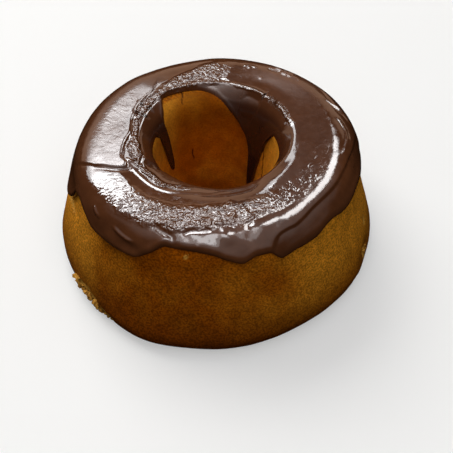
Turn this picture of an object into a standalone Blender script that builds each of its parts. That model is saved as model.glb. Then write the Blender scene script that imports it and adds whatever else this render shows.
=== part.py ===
"""Ring cake baked in a plain tube pan, with chocolate icing poured over its top.

Two closed solids, the cake and its icing. Both are laid out along one crust line, which runs from
the middle of the crown outwards over the shoulder to the foot, and inwards over the rim of the hole
down its wall. A place on either solid is an azimuth, a run along that line and a lift off the crust.

Metres, +Z up. The origin is the middle of the base. Azimuths are in degrees, from +X towards +Y.
"""

import math

import bmesh
import bpy

MM = 0.001

# The cake: a leaning wall with a rounded foot and shoulder, a flat crown and a tapered hole. Its
# top sits a little to the right of its base.
CAKE_HEIGHT = 77 * MM
WIDEST_RADIUS = 97.8 * MM
WALL_LEAN = math.radians(16.6)
FOOT_ARC = 16 * MM
FOOT_ARC_HEIGHT = 11.8 * MM
SHOULDER_ARC = 17.5 * MM
CROWN_LINE = 57 * MM
RIM_ARC = 13.5 * MM
HOLE_TOP_RADIUS = 36 * MM
HOLE_FOOT_RADIUS = 31 * MM
TOP_SHIFT = 1.5 * MM

# How finely each solid is cut: sides around, steps along each stretch, and levels on the wall.
CAKE_SIDES = 84
ICING_SIDES = 108
SHOULDER_STEPS = 6
RIM_STEPS = 4
FOOT_STEPS = 4
HOLE_STEPS = 3
WALL_HEIGHTS = (56 * MM, 47.5 * MM, 45 * MM, 38 * MM, 30 * MM, 23 * MM)

# The icing: its gaps to the crust, and its thickness on the crown, at its edge and in the hole.
ICING_GAP = 0.35 * MM
BACK_GAP = 0.7 * MM
CROWN_THICKNESS = 2.1 * MM
EDGE_THICKNESS = 2.9 * MM
EDGE_FROM = 12 * MM
EDGE_TO = 30 * MM
HOLE_THICKNESS = 1.5 * MM
HOLE_FROM = 8 * MM
HOLE_TO = 24 * MM

# The rounded edges: distance back from the edge and share of the thickness, outside and in the hole.
OUTER_EDGE = ((0.1 * MM, 0.35), (0.9 * MM, 0.8), (2.6 * MM, 1.05))
INNER_EDGE = ((1.8 * MM, 1.0), (0.7 * MM, 0.8), (0.1 * MM, 0.35))
UNDER_EDGE = (0.4 * MM, 3.0 * MM)

# The icing's cuts follow the bends of the crust this far, and are stretched to the edges past it.
OUTER_BEND = 33 * MM
OUTER_REST = 6 * MM
INNER_BEND = -18 * MM
INNER_REST = 4 * MM
THROAT_STEP = -4.8 * MM

# A second, later pour lies thicker on the left of the crown: its middle, size and extra height.
POUR_AZIMUTH = 168
POUR_SPREAD = 34
POUR_INNER_RUN = -6 * MM
POUR_INNER_FADE = 2 * MM
POUR_OUTER_RUN = 16 * MM
POUR_OUTER_FADE = 16 * MM
POUR_HEIGHT = 0.7 * MM

# The icing has run together into a roll on the front of the hole's rim.
ROLL_AZIMUTH = 262
ROLL_SPREAD = 42
ROLL_RUN = -16 * MM
ROLL_REACH = 8 * MM
ROLL_HEIGHT = 2.4 * MM

# The last pour ends in a lip above a thinner skirt on the right of the front.
LIP_FROM = 291
LIP_TO = 368
LIP_RUN = 18.5 * MM
LIP_FADE = 9
LIP_STEP = 0.9 * MM
LIP_SLOPE = 3 * MM

# The icing's cuts stand closer together beside the narrow drip in the hole, and lean with it.
DRIP_AZIMUTH = 148
DRIP_REACH = 16
DRIP_CROWDING = 0.5
DRIP_LEAN = -7
DRIP_LEAN_FROM = 20 * MM
DRIP_LEAN_TO = 64 * MM

# How far the icing runs down the outside: azimuth in degrees, run in millimetres. Tips are drips.
OUTER_RUNS = (
    (4, 35), (14, 32.5), (30, 34), (47, 42), (60, 35), (80, 32), (100, 37), (117, 45), (131, 36),
    (148, 33), (163, 38), (176, 39), (184, 44), (191, 48), (195.5, 43), (199, 34.5), (205, 32),
    (211, 33.5), (218, 36.8), (228, 36.1), (238, 34.5), (244, 29), (250, 23), (261, 23.3),
    (268, 24.5), (274, 27.5), (279, 29.4), (284, 26.8), (289, 26.6), (294, 31.4), (300, 29.8),
    (308, 29.8), (318, 27.5), (328, 29.8), (340, 30.4), (352, 34),
)

# How far it runs down into the hole. Long runs are a broad tongue, at 47, and a narrow drip, at 150.
INNER_RUNS = (
    (4, 24.5), (20, 25), (27, 31.5), (33, 41), (38, 55), (43, 75), (47, 86), (50, 78), (52, 54),
    (57, 42), (63, 36), (70, 29.6), (77, 24.5), (83, 20.1), (91, 15.3), (103, 11.1), (122, 8.8),
    (130, 8.2), (134, 11), (138, 16.2), (142, 20), (145, 25), (147, 40), (150.5, 60.5), (154, 44),
    (157, 27), (164, 22.9), (185, 22.5), (200, 24), (214, 28), (228, 24), (246, 26), (262, 31),
    (276, 26), (292, 24), (310, 27), (324, 34), (337, 27), (350, 24),
)

# Broad bulges and dents of the wall: azimuth, height, reach around, reach up and swell, in
# degrees and millimetres.
WALL_LUMPS = (
    (246, 7, 14, 12, 2.0),
    (299, 6, 15, 12, -1.8),
    (340, 17, 5, 6, -2.2),
    (216, 8, 9, 9, -1.2),
    (40, 34, 22, 20, -0.9),
    (188, 62, 16, 13, -1.4),
    (352, 60, 26, 24, -2.2),
)

# A flap of crust stands proud on the left below the drip, with a sharp upper edge.
FLAP_AZIMUTH = 190
FLAP_REACH = 10
FLAP_TOP = 47.5 * MM
FLAP_EDGE = 2.5 * MM
FLAP_DEPTH = 34 * MM
FLAP_SWELL = 0.9 * MM

# The materials' colours, and how rough each is.
CRUST_COLOUR = (0.42, 0.19, 0.04)
CRUST_ROUGHNESS = 0.8
ICING_COLOUR = (0.085, 0.036, 0.020)
ICING_ROUGHNESS = 0.28
SHARP_ANGLE = math.radians(50)

# The wall, crown and hole waver all round: waves around, phase in radians, size in millimetres.
WALL_WAVES = ((2, 0.6, 0.35), (3, 2.1, 0.35), (7, 4.0, 0.22), (12, 1.3, 0.15))
CROWN_WAVES = ((1, 1.92, 0.7), (2, 1.1, 0.25), (5, 3.4, 0.18))
HOLE_WAVES = ((1, 0.09, 1.2), (3, 0.4, 0.3), (5, 2.6, 0.2))


def smooth_step(low, high, value):
    """Rises smoothly from 0 at low to 1 at high."""
    part = min(1.0, max(0.0, (value - low) / (high - low)))
    return part * part * (3 - 2 * part)


def turn_between(azimuth, middle):
    """The turn from middle to azimuth, in degrees, from -180 to 180."""
    return (azimuth - middle + 180) % 360 - 180


def bell(distance, reach):
    """A smooth hump of height 1 that has died away at about twice its reach."""
    return math.exp(-((distance / reach) ** 2))


def around(pairs, azimuth):
    """Reads a closed ring of (azimuth, value) pairs along a curve that never overshoots them."""
    azimuth %= 360
    count = len(pairs)
    after = next((i for i, pair in enumerate(pairs) if pair[0] > azimuth), 0)
    picked = [pairs[(after + k) % count] for k in (-2, -1, 0, 1)]
    turns = [turn_between(pair[0], picked[1][0]) for pair in picked]
    values = [pair[1] for pair in picked]
    rises = [(values[k + 1] - values[k]) / (turns[k + 1] - turns[k]) for k in range(3)]
    slopes = [
        0.0 if before * behind <= 0 else 2 * before * behind / (before + behind)
        for before, behind in zip(rises, rises[1:])
    ]
    width = turns[2]
    part = turn_between(azimuth, picked[1][0]) / width
    rise = part * part * (3 - 2 * part)
    start_pull = width * slopes[0] * part * (1 - part) ** 2
    end_pull = width * slopes[1] * part * part * (part - 1)
    return values[1] + (values[2] - values[1]) * rise + start_pull + end_pull


def stretch_lengths():
    """The crust line's stretches, outwards and inwards, each as (length, turn in radians)."""
    wall_turn = math.pi / 2 - WALL_LEAN
    wall_foot = WIDEST_RADIUS - FOOT_ARC * (1 - math.cos(WALL_LEAN))
    wall_foot_height = FOOT_ARC_HEIGHT + FOOT_ARC * math.sin(WALL_LEAN)
    wall_top_height = CAKE_HEIGHT - SHOULDER_ARC * (1 - math.sin(WALL_LEAN))
    wall_rise = wall_top_height - wall_foot_height
    wall_top = wall_foot - wall_rise * math.tan(WALL_LEAN)
    crown_edge = wall_top - SHOULDER_ARC * math.cos(WALL_LEAN)
    foot_turn = WALL_LEAN + math.asin(FOOT_ARC_HEIGHT / FOOT_ARC)
    outwards = (
        (crown_edge - CROWN_LINE, 0.0),
        (SHOULDER_ARC * wall_turn, wall_turn),
        (wall_rise / math.cos(WALL_LEAN), 0.0),
        (FOOT_ARC * foot_turn, foot_turn),
    )
    taper = math.atan2(HOLE_TOP_RADIUS - HOLE_FOOT_RADIUS, CAKE_HEIGHT - RIM_ARC)
    rim_turn = math.pi / 2 - taper
    hole_wall_top = CAKE_HEIGHT - RIM_ARC * (1 - math.sin(taper))
    inwards = (
        (CROWN_LINE - HOLE_TOP_RADIUS - RIM_ARC, 0.0),
        (RIM_ARC * rim_turn, rim_turn),
        (hole_wall_top / math.cos(taper), 0.0),
    )
    return outwards, inwards


OUTWARDS, INWARDS = stretch_lengths()


def crust_point(run):
    """Walks along the crust line; gives radius, height and the outward normal's two parts."""
    side = 1 if run >= 0 else -1
    stretches = OUTWARDS if run >= 0 else INWARDS
    left = abs(run)
    reach, drop, heading = 0.0, 0.0, 0.0
    for length, turn in stretches:
        step = min(left, length)
        bend = turn * step / length
        if turn:
            arc = length / turn
            reach += arc * (math.sin(heading + bend) - math.sin(heading))
            drop += arc * (math.cos(heading) - math.cos(heading + bend))
        else:
            reach += step * math.cos(heading)
            drop += step * math.sin(heading)
        heading += bend
        left -= step
    return CROWN_LINE + side * reach, CAKE_HEIGHT - drop, side * math.sin(heading), math.cos(heading)


def waver(waves, azimuth):
    """Adds up slow waves around the cake, in metres."""
    angle = math.radians(azimuth)
    return sum(size * MM * math.sin(count * angle + phase) for count, phase, size in waves)


def wall_swell(azimuth, height):
    """How far the outer wall stands out from its true cone."""
    swell = waver(WALL_WAVES, azimuth)
    for middle, level, reach, rise, size in WALL_LUMPS:
        across = bell(turn_between(azimuth, middle), reach)
        swell += size * MM * across * bell(height - level * MM, rise * MM)
    flap_top = 1 - smooth_step(FLAP_TOP - FLAP_EDGE, FLAP_TOP, height)
    flap_foot = smooth_step(FLAP_TOP - FLAP_EDGE - FLAP_DEPTH, FLAP_TOP - FLAP_EDGE, height)
    flap = bell(turn_between(azimuth, FLAP_AZIMUTH), FLAP_REACH) * flap_top * flap_foot
    return swell + FLAP_SWELL * flap


def place(azimuth, run, lift):
    """The point at an azimuth and a run along the crust line, lifted off the crust."""
    radius, height, normal_out, normal_up = crust_point(run)
    radius += normal_out * lift
    height += normal_up * lift
    outer_share = smooth_step(CROWN_LINE, WIDEST_RADIUS - SHOULDER_ARC, radius)
    inner_share = 1 - smooth_step(HOLE_TOP_RADIUS, CROWN_LINE, radius)
    crown_share = smooth_step(CAKE_HEIGHT - 2 * SHOULDER_ARC, CAKE_HEIGHT, height)
    radius += outer_share * wall_swell(azimuth, height) + inner_share * waver(HOLE_WAVES, azimuth)
    height += crown_share * waver(CROWN_WAVES, azimuth)
    angle = math.radians(azimuth)
    shift = TOP_SHIFT * outer_share * height / CAKE_HEIGHT
    return radius * math.cos(angle) + shift, radius * math.sin(angle), height


def icing_thickness(azimuth, run):
    """The icing's thickness away from its edges."""
    towards_edge = smooth_step(EDGE_FROM, EDGE_TO, run)
    into_hole = smooth_step(HOLE_FROM, HOLE_TO, -run)
    thickness = CROWN_THICKNESS
    thickness += (EDGE_THICKNESS - CROWN_THICKNESS) * towards_edge
    thickness += (HOLE_THICKNESS - CROWN_THICKNESS) * into_hole
    pour = bell(turn_between(azimuth, POUR_AZIMUTH), POUR_SPREAD)
    pour *= smooth_step(POUR_INNER_RUN - POUR_INNER_FADE, POUR_INNER_RUN, run)
    pour *= 1 - smooth_step(POUR_OUTER_RUN, POUR_OUTER_RUN + POUR_OUTER_FADE, run)
    from_left = (azimuth - 180) % 360 + 180
    lip = smooth_step(LIP_FROM - LIP_FADE, LIP_FROM + LIP_FADE, from_left)
    lip *= 1 - smooth_step(LIP_TO - LIP_FADE, LIP_TO + LIP_FADE, from_left)
    lip *= smooth_step(LIP_RUN, LIP_RUN + LIP_SLOPE, run)
    roll = bell(turn_between(azimuth, ROLL_AZIMUTH), ROLL_SPREAD)
    roll *= bell(run - ROLL_RUN, ROLL_REACH)
    return thickness + POUR_HEIGHT * pour - LIP_STEP * lip + ROLL_HEIGHT * roll


def drip_lean(azimuth, run):
    """How far the narrow drip leans round the hole on its way down, in degrees."""
    across = bell(turn_between(azimuth, DRIP_AZIMUTH), DRIP_REACH)
    return DRIP_LEAN * across * smooth_step(DRIP_LEAN_FROM, DRIP_LEAN_TO, -run)


def icing_section(azimuth):
    """One closed cut through the icing, as (run, lift) pairs from the outer edge and back to it."""
    outer = around(OUTER_RUNS, azimuth) * MM
    inner = -around(INNER_RUNS, azimuth) * MM
    outer_bend = min(outer - OUTER_REST, OUTER_BEND)
    inner_bend = max(inner + INNER_REST, INNER_BEND)
    throat = (inner + INNER_EDGE[0][0] - inner_bend) / 3
    body = [outer_bend * (1 - k / SHOULDER_STEPS) for k in range(SHOULDER_STEPS + 1)]
    body += [inner_bend * (k + 1) / RIM_STEPS for k in range(RIM_STEPS)]
    body += [inner_bend + k * max(throat, THROAT_STEP) for k in (1, 2)]
    top = [(outer - back, share) for back, share in OUTER_EDGE]
    top += [(run, 1.0) for run in body]
    top += [(inner + back, share) for back, share in INNER_EDGE]
    section = [(run, ICING_GAP + share * icing_thickness(azimuth, run)) for run, share in top]
    section.append((inner + UNDER_EDGE[0], BACK_GAP))
    section += [(run, BACK_GAP) for run in reversed(body)]
    section += [(outer - back, ICING_GAP) for back in reversed(UNDER_EDGE)]
    return section


def cake_section():
    """The cake's closed cut, as runs from the foot over the crown and down the hole."""
    (crown, _), (shoulder, _), (wall, _), (foot, _) = OUTWARDS
    wall_top = CAKE_HEIGHT - SHOULDER_ARC * (1 - math.sin(WALL_LEAN))
    runs = [0.0]
    runs += [crown + shoulder * k / SHOULDER_STEPS for k in range(SHOULDER_STEPS + 1)]
    runs += [crown + shoulder + (wall_top - height) / math.cos(WALL_LEAN) for height in WALL_HEIGHTS]
    runs += [crown + shoulder + wall + foot * k / FOOT_STEPS for k in range(FOOT_STEPS + 1)]
    runs.reverse()
    start = 0.0
    for (length, _), count in zip(INWARDS, (1, RIM_STEPS, HOLE_STEPS)):
        runs += [-start - length * (k + 1) / count for k in range(count)]
        start += length
    return runs


def ring_mesh(count, sides):
    """A ring of sides around and count points in its cut; each vertex keeps its place in the cut."""
    shape = bmesh.new()
    station = shape.verts.layers.int.new("station")
    corners = []
    for k in range(count):
        turn = 2 * math.pi * k / count
        corner = shape.verts.new((2 + math.cos(turn), 0, math.sin(turn)))
        corner[station] = k
        corners.append(corner)
    for k in range(count):
        shape.edges.new((corners[k], corners[(k + 1) % count]))
    bmesh.ops.spin(
        shape,
        geom=shape.verts[:] + shape.edges[:],
        cent=(0, 0, 0),
        axis=(0, 0, 1),
        dvec=(0, 0, 0),
        angle=2 * math.pi,
        steps=sides,
        use_merge=True,
        use_duplicate=False,
    )
    return shape, station


def make_cake():
    """The cake's solid."""
    runs = cake_section()
    shape, station = ring_mesh(len(runs), CAKE_SIDES)
    for vertex in shape.verts:
        azimuth = math.degrees(math.atan2(vertex.co.y, vertex.co.x))
        vertex.co = place(azimuth, runs[vertex[station]], 0.0)
    return shape


def crowd(azimuth):
    """Draws evenly spaced azimuths together beside the narrow drip."""
    turn = turn_between(azimuth, DRIP_AZIMUTH)
    return azimuth - DRIP_CROWDING * turn * bell(turn, DRIP_REACH)


def make_icing():
    """The icing's solid."""
    shape, station = ring_mesh(len(icing_section(0)), ICING_SIDES)
    sections = {}
    for vertex in shape.verts:
        azimuth = crowd(round(math.degrees(math.atan2(vertex.co.y, vertex.co.x)), 3))
        if azimuth not in sections:
            sections[azimuth] = icing_section(azimuth)
        run, lift = sections[azimuth][vertex[station]]
        vertex.co = place(azimuth + drip_lean(azimuth, run), run, lift)
    return shape


def finish(name, shape, colour, roughness):
    """Turns a shape into a named object with outward faces, smooth shading and its own material."""
    bmesh.ops.recalc_face_normals(shape, faces=shape.faces[:])
    if shape.calc_volume(signed=True) < 0:
        bmesh.ops.reverse_faces(shape, faces=shape.faces[:])
    mesh = bpy.data.meshes.new(name)
    shape.to_mesh(mesh)
    shape.free()
    mesh.shade_smooth()
    mesh.set_sharp_from_angle(angle=SHARP_ANGLE)
    material = bpy.data.materials.new(name)
    material.use_nodes = True
    shader = material.node_tree.nodes["Principled BSDF"]
    shader.inputs["Base Color"].default_value = (*colour, 1.0)
    shader.inputs["Roughness"].default_value = roughness
    shader.inputs["Metallic"].default_value = 0.0
    mesh.materials.append(material)
    thing = bpy.data.objects.new(name, mesh)
    bpy.context.scene.collection.objects.link(thing)


def main():
    """Clears the scene and builds the cake and its icing."""
    for thing in list(bpy.data.objects):
        bpy.data.objects.remove(thing, do_unlink=True)
    finish("cake", make_cake(), CRUST_COLOUR, CRUST_ROUGHNESS)
    finish("icing", make_icing(), ICING_COLOUR, ICING_ROUGHNESS)


main()
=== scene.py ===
"""Ring cake with poured chocolate icing: the looks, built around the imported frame.

Both pieces are laid out along one crust line, which runs from the middle of the crown outwards over
the shoulder to the foot, and inwards over the rim of the hole down its wall. A place on either is an
azimuth in degrees, a run along that line and a lift off the crust. Metres, +Z up, front at -Y.
"""

import logging
import math
from dataclasses import dataclass
from enum import Enum

import bmesh
import bpy
import numpy as np
from mathutils import Matrix, Vector, noise


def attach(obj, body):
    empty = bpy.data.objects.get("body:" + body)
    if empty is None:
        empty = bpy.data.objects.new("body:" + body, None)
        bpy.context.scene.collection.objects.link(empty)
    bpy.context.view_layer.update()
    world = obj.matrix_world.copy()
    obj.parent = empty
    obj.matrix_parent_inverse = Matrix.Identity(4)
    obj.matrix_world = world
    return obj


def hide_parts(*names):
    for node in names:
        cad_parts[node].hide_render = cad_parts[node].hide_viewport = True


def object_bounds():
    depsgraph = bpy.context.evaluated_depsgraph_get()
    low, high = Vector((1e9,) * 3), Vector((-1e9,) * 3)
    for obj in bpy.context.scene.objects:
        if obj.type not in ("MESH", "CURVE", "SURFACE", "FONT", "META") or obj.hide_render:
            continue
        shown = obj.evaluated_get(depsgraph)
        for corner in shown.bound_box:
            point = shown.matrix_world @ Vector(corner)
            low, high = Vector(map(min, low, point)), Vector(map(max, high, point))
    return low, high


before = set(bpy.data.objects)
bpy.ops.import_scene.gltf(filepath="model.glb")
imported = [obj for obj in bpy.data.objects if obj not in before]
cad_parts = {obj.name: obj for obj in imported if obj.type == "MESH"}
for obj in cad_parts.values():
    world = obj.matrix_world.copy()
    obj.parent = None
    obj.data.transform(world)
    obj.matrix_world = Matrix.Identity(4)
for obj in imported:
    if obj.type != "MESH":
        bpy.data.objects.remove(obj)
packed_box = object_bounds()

MM = 0.001
log = logging.getLogger("ring cake")

Array = np.ndarray
Socket = bpy.types.NodeSocket
Colour = tuple[float, float, float]
Pairs = tuple[tuple[float, float], ...]
Rows = tuple[tuple[float, ...], ...]


class Slot(Enum):
    """Names for the two material slots; nothing in the script uses them."""

    CRUST = "crust"
    ICING = "icing"


class Node(Enum):
    """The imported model's nodes."""

    CAKE = "cake"
    ICING = "icing"


class Mask(Enum):
    """Values from 0 to 1 that a piece carries on its surface for its finish."""

    CRINKLE = "crinkle"
    TORN = "torn"
    # The cracks on the hole's wall, which the crust finish paints dark as painted shade.
    MARK = "mark"
    # On the icing, the hole mask carries painted shade down the hole; on the crust it marks the hole's wall.
    HOLE = "hole"
    DULL = "dull"


def smooth_step(low: float, high: float, value: Array) -> Array:
    """Rises smoothly from 0 at low to 1 at high."""
    part = np.clip((value - low) / (high - low), 0.0, 1.0)
    return part * part * (3 - 2 * part)


def turn_between(azimuth: Array, middle: float | Array) -> Array:
    """The turn from middle to azimuth, in degrees, from -180 to 180."""
    return (azimuth - middle + 180) % 360 - 180


def bell(distance: Array, reach: float | Array) -> Array:
    """A smooth hump of height 1 that has died away at about twice its reach."""
    return np.exp(-((distance / reach) ** 2))


def window(value: Array, opening: tuple[float, float], closing: tuple[float, float]) -> Array:
    """Rises smoothly from 0 to 1 over the opening and falls back to 0 over the closing."""
    return smooth_step(*opening, value) * (1 - smooth_step(*closing, value))


def hump(azimuth: Array, run: Array, row: tuple[float, ...]) -> Array:
    """A swell at a row's azimuth and run, with its reach around, reach along and height."""
    middle, level, reach, rise, size = row
    return size * bell(turn_between(azimuth, middle), reach) * bell(run - level, rise)


def around(pairs: Pairs, azimuth: Array) -> Array:
    """Reads a closed ring of (azimuth, value) pairs along a curve that never overshoots them.

    Args:
        pairs: The ring's points, in order of azimuth.
        azimuth: Where to read it, in degrees.

    Returns:
        The values there.
    """
    azimuth = azimuth % 360
    places = np.array([pair[0] for pair in pairs])
    heights = np.array([pair[1] for pair in pairs])
    after = np.searchsorted(places, azimuth, side="right")
    picked = [(after + k) % len(pairs) for k in (-2, -1, 0, 1)]
    turns = [turn_between(places[k], places[picked[1]]) for k in picked]
    values = [heights[k] for k in picked]
    rises = [(values[k + 1] - values[k]) / (turns[k + 1] - turns[k]) for k in range(3)]
    slopes = []
    for before, behind in zip(rises, rises[1:]):
        total = before + behind
        safe = np.where(total == 0, 1.0, total)
        slopes.append(np.where(before * behind <= 0, 0.0, 2 * before * behind / safe))
    width = turns[2]
    part = turn_between(azimuth, places[picked[1]]) / width
    rise = part * part * (3 - 2 * part)
    start_pull = width * slopes[0] * part * (1 - part) ** 2
    end_pull = width * slopes[1] * part * part * (part - 1)
    return values[1] + (values[2] - values[1]) * rise + start_pull + end_pull


def waver(waves: Rows, azimuth: Array) -> Array:
    """Adds up slow waves around the cake, in metres."""
    angle = np.radians(azimuth)
    return sum(size * MM * np.sin(count * angle + phase) for count, phase, size in waves)


def grain(points: Array, size: float, seed: float = 0.0) -> Array:
    """Smooth noise from about -1 to 1 at each point.

    Args:
        points: Places in metres, one to a row.
        size: The noise's grain, in millimetres.
        seed: Moves the noise, so that two of one size differ.

    Returns:
        One value for each point.
    """
    cells = points / (size * MM) + seed
    return np.array([noise.noise(Vector(cell)) for cell in cells])


@dataclass(frozen=True)
class CrustLine:
    """The crust's cut, with the wall's unevenness, and the way from a run along it to a point."""

    height: float = 77 * MM
    widest_radius: float = 97.8 * MM
    wall_lean: float = math.radians(16.6)
    foot_arc: float = 16 * MM
    foot_arc_height: float = 11.8 * MM
    shoulder_arc: float = 17.5 * MM
    crown_line: float = 57 * MM
    rim_arc: float = 13.5 * MM
    hole_top_radius: float = 36 * MM
    hole_foot_radius: float = 31 * MM
    top_shift: float = 1.5 * MM
    wall_lumps: Rows = (
        (246, 7, 14, 12, 2.0),
        (299, 6, 15, 12, -1.8),
        (340, 17, 5, 6, -2.2),
        (216, 8, 9, 9, -1.2),
        (40, 34, 22, 20, -0.9),
        (188, 62, 16, 13, -1.4),
        (352, 60, 26, 24, -2.2),
    )
    flap_azimuth: float = 190
    flap_reach: float = 10
    flap_top: float = 47.5 * MM
    flap_edge: float = 1.2 * MM
    flap_depth: float = 34 * MM
    flap_swell: float = 0.9 * MM
    wall_waves: Rows = ((2, 0.6, 0.35), (3, 2.1, 0.35), (7, 4.0, 0.22), (12, 1.3, 0.15))
    crown_waves: Rows = ((1, 1.92, 0.7), (2, 1.1, 0.25), (5, 3.4, 0.18))
    hole_waves: Rows = ((1, 0.09, 1.2), (3, 0.4, 0.3), (5, 2.6, 0.2))

    def outwards(self) -> Pairs:
        """The stretches from the crown line to the foot, each as (length, turn in radians)."""
        wall_turn = math.pi / 2 - self.wall_lean
        wall_foot = self.widest_radius - self.foot_arc * (1 - math.cos(self.wall_lean))
        wall_foot_height = self.foot_arc_height + self.foot_arc * math.sin(self.wall_lean)
        wall_top_height = self.height - self.shoulder_arc * (1 - math.sin(self.wall_lean))
        wall_rise = wall_top_height - wall_foot_height
        wall_top = wall_foot - wall_rise * math.tan(self.wall_lean)
        crown_edge = wall_top - self.shoulder_arc * math.cos(self.wall_lean)
        foot_turn = self.wall_lean + math.asin(self.foot_arc_height / self.foot_arc)
        return (
            (crown_edge - self.crown_line, 0.0),
            (self.shoulder_arc * wall_turn, wall_turn),
            (wall_rise / math.cos(self.wall_lean), 0.0),
            (self.foot_arc * foot_turn, foot_turn),
        )

    def inwards(self) -> Pairs:
        """The stretches from the crown line down the hole, each as (length, turn in radians)."""
        taper = math.atan2(self.hole_top_radius - self.hole_foot_radius, self.height - self.rim_arc)
        rim_turn = math.pi / 2 - taper
        hole_wall_top = self.height - self.rim_arc * (1 - math.sin(taper))
        return (
            (self.crown_line - self.hole_top_radius - self.rim_arc, 0.0),
            (self.rim_arc * rim_turn, rim_turn),
            (hole_wall_top / math.cos(taper), 0.0),
        )

    def ends(self) -> tuple[float, float]:
        """The runs of the hole's foot, which is negative, and of the outer foot."""
        return -sum(s[0] for s in self.inwards()), sum(s[0] for s in self.outwards())

    def point(self, run: Array) -> tuple[Array, ...]:
        """Walks along the crust line.

        Args:
            run: How far to walk from the crown line, outwards where it is positive.

        Returns:
            Radius, height, and the outward normal's share along the radius and up.
        """
        answer = []
        for side, stretches in ((1, self.outwards()), (-1, self.inwards())):
            left = np.abs(run)
            reach = np.zeros_like(left)
            drop = np.zeros_like(left)
            heading = np.zeros_like(left)
            for length, turn in stretches:
                step = np.minimum(left, length)
                bend = turn * step / length
                if turn:
                    arc = length / turn
                    reach = reach + arc * (np.sin(heading + bend) - np.sin(heading))
                    drop = drop + arc * (np.cos(heading) - np.cos(heading + bend))
                else:
                    reach = reach + step * np.cos(heading)
                    drop = drop + step * np.sin(heading)
                heading = heading + bend
                left = left - step
            answer.append((side * reach, drop, side * np.sin(heading), np.cos(heading)))
        outer = run >= 0
        reach, drop, out, up = (np.where(outer, a, b) for a, b in zip(*answer))
        return self.crown_line + reach, self.height - drop, out, up

    def wall_swell(self, azimuth: Array, height: Array) -> Array:
        """How far the outer wall stands out from its true cone."""
        swell = waver(self.wall_waves, azimuth)
        for middle, level, reach, rise, size in self.wall_lumps:
            across = bell(turn_between(azimuth, middle), reach)
            swell = swell + size * MM * across * bell(height - level * MM, rise * MM)
        edge = self.flap_top - self.flap_edge
        flap_top = 1 - smooth_step(edge, self.flap_top, height)
        flap_foot = smooth_step(edge - self.flap_depth, edge, height)
        across = bell(turn_between(azimuth, self.flap_azimuth), self.flap_reach)
        return swell + self.flap_swell * across * flap_top * flap_foot

    def place(self, azimuth: Array, run: Array, lift: Array) -> Array:
        """The points at azimuths and runs along the crust line, lifted off the crust.

        Args:
            azimuth: In degrees.
            run: In metres from the crown line.
            lift: In metres off the crust.

        Returns:
            One point to a row.
        """
        radius, height, out, up = self.point(run)
        radius = radius + out * lift
        height = height + up * lift
        outer_share = smooth_step(self.crown_line, self.widest_radius - self.shoulder_arc, radius)
        inner_share = 1 - smooth_step(self.hole_top_radius, self.crown_line, radius)
        crown_share = smooth_step(self.height - 2 * self.shoulder_arc, self.height, height)
        radius = radius + outer_share * self.wall_swell(azimuth, height)
        radius = radius + inner_share * waver(self.hole_waves, azimuth)
        height = height + crown_share * waver(self.crown_waves, azimuth)
        angle = np.radians(azimuth)
        shift = self.top_shift * outer_share * height / self.height
        return np.column_stack((radius * np.cos(angle) + shift, radius * np.sin(angle), height))

    def sheet(self, azimuth: Array, run: Array) -> Array:
        """The crust laid out flat around the crown line, in millimetres, to measure distances on."""
        radius = (self.crown_line + run) / MM
        angle = np.radians(azimuth)
        return np.column_stack((radius * np.cos(angle), radius * np.sin(angle)))


@dataclass(frozen=True)
class Crease:
    """A raised or sunken line across the icing, with or without a step beside it.

    The path is in (azimuth, run in millimetres). The step is on the right of the path's direction
    and dies away over its reach. A bend turns the surface down quickly there, as over the rim of the
    hole. All sizes are in millimetres.
    """

    path: Pairs
    height: float
    width: float
    step: float = 0.0
    step_width: float = 1.4
    step_reach: float = 7.0
    taper: float = 0.15
    bend: float = 0.0
    bend_reach: float = 3.0
    bend_start: float = 0.5
    bend_end: tuple[float, float] = (9, 26)

    def smooth_path(self, crust: CrustLine) -> Array:
        """The path on the flat sheet, rounded through its points, four pieces to a stretch."""
        azimuth, run = (np.array(column, float) for column in zip(*self.path))
        corners = crust.sheet(azimuth, run * MM)
        ends = (2 * corners[0] - corners[1], 2 * corners[-1] - corners[-2])
        all_points = np.vstack((ends[0], corners, ends[1]))
        rounded = []
        for before, start, end, behind in zip(*(all_points[k : len(all_points) - 3 + k] for k in range(4))):
            for part in (0.0, 0.25, 0.5, 0.75):
                pull = (end - before) * part * (1 - part) ** 2 / 2
                push = (behind - start) * part * part * (part - 1) / 2
                rise = part * part * (3 - 2 * part)
                rounded.append(start + (end - start) * rise + pull + push)
        rounded.append(corners[-1])
        return np.array(rounded)

    def measure(self, crust: CrustLine, sheet: Array) -> tuple[Array, Array]:
        """Distances from the path.

        Args:
            crust: The crust line that the path lies on.
            sheet: Places on the flat sheet, in millimetres.

        Returns:
            The distance, positive on the path's right, and the share of the path passed there.
        """
        path = self.smooth_path(crust)
        nearest = np.full(len(sheet), 1e9)
        side = np.ones(len(sheet))
        passed = np.zeros(len(sheet))
        count = len(path) - 1
        for k in range(count):
            stride = path[k + 1] - path[k]
            offset = sheet - path[k]
            part = np.clip(offset @ stride / (stride @ stride), 0, 1)
            gap = offset - part[:, None] * stride
            distance = np.hypot(gap[:, 0], gap[:, 1])
            closer = distance < nearest
            nearest = np.where(closer, distance, nearest)
            turn = stride[0] * offset[:, 1] - stride[1] * offset[:, 0]
            side = np.where(closer, np.where(turn > 0, -1.0, 1.0), side)
            passed = np.where(closer, (k + part) / count, passed)
        return nearest * side, passed

    def relief(self, crust: CrustLine, sheet: Array) -> Array:
        """How far the crease lifts the icing, in millimetres, at places on the flat sheet."""
        distance, passed = self.measure(crust, sheet)
        ends = smooth_step(0, self.taper, passed) * smooth_step(0, self.taper, 1 - passed)
        line = self.height * bell(distance, self.width)
        rise = smooth_step(-self.step_width / 2, self.step_width / 2, distance)
        step = self.step * rise * bell(np.maximum(distance, 0), self.step_reach)
        past = np.maximum(distance - self.bend_start, 0) / self.bend_reach
        bend = self.bend * (1 - np.exp(-(past**1.5))) * (1 - smooth_step(*self.bend_end, distance))
        return ends * (line + step - bend)


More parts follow.
